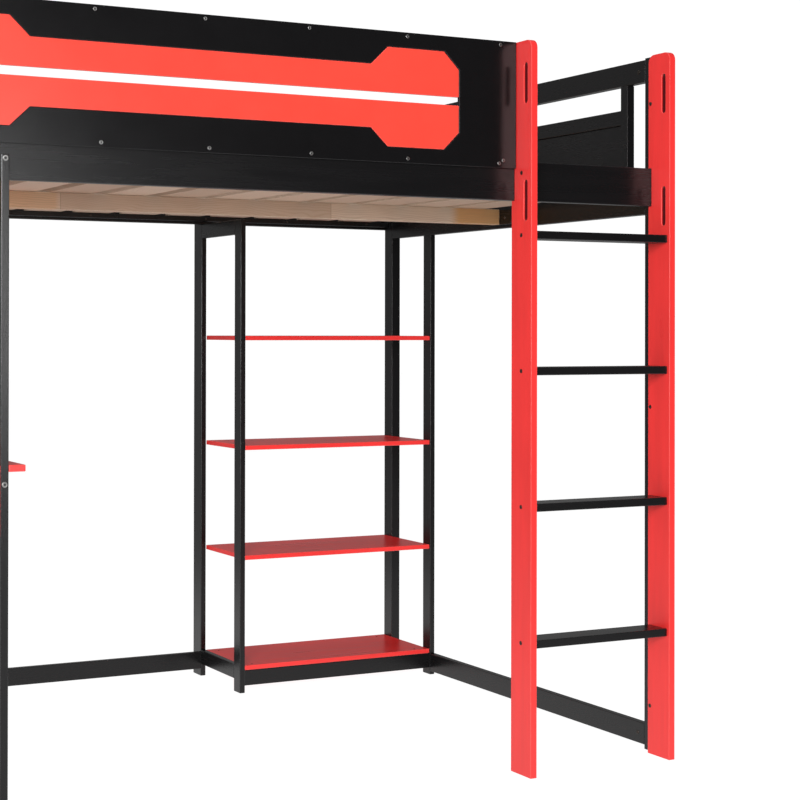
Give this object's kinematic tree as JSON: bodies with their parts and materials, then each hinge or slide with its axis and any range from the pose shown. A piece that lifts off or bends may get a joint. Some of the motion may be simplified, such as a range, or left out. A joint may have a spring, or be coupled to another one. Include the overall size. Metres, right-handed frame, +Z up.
{
  "type": "loft bed with desk",
  "caption": "Loft bed frame with slatted base, panelled guard, straight ladder, open bookcase under one corner and a desk across the other end.",
  "frame": {"origin": "on the floor under the middle of the overall box", "axes": "+X along the bed towards the ladder and bookcase end, +Y from the ladder side to the rear side, +Z up"},
  "size_m": [2.026, 1.5164, 1.717],
  "materials": {
    "black_paint": "semi-gloss black paint on wood",
    "red_paint": "semi-gloss red paint on wood",
    "pine": "bare planed pine"
  },
  "bodies": {
    "root": {"bookcase_bottom_bar": "black_paint", "bookcase_plinth": "black_paint", "bookcase_post_front_left": "black_paint", "bookcase_post_front_right": "black_paint", "bookcase_post_rear_left": "black_paint", "bookcase_top_bar": "black_paint", "corner_post_front_left": "black_paint", "corner_post_front_right": "black_paint", "corner_post_rear_left": "black_paint", "corner_post_rear_right": "black_paint", "desk_apron": "red_paint", "desk_leg_front": "black_paint", "desk_leg_rear": "black_paint", "desk_low_board": "red_paint", "desk_rail_left": "black_paint", "desk_rail_right": "black_paint", "desktop": "red_paint", "end_guard_frame_left": "black_paint", "end_guard_frame_right": "black_paint", "end_panel_left": "black_paint", "end_panel_right": "black_paint", "end_rail_left": "black_paint", "end_rail_right": "black_paint", "end_top_rail_left": "black_paint", "end_top_rail_right": "black_paint", "floor_rail_rear": "black_paint", "floor_rail_right": "black_paint", "guard_infill_lower": "red_paint", "guard_infill_upper": "red_paint", "guard_panel": "black_paint", "guard_top_cleat": "black_paint", "ladder_stringer_left": "red_paint", "ladder_stringer_right": "red_paint", "ladder_tread_1": "black_paint", "ladder_tread_2": "black_paint", "ladder_tread_3": "black_paint", "ladder_tread_4": "black_paint", "middle_beam": "pine", "rear_guard_frame": "black_paint", "shelf_1": "red_paint", "shelf_2": "red_paint", "shelf_3": "red_paint", "shelf_4": "red_paint", "side_rail_front": "black_paint", "side_rail_rear": "black_paint", "slat_01": "pine", "slat_02": "pine", "slat_03": "pine", "slat_04": "pine", "slat_05": "pine", "slat_06": "pine", "slat_07": "pine", "slat_08": "pine", "slat_09": "pine", "slat_10": "pine", "slat_11": "pine", "slat_12": "pine", "slat_13": "pine", "slat_batten_front": "black_paint", "slat_batten_rear": "black_paint"}
  },
  "joints": []
}
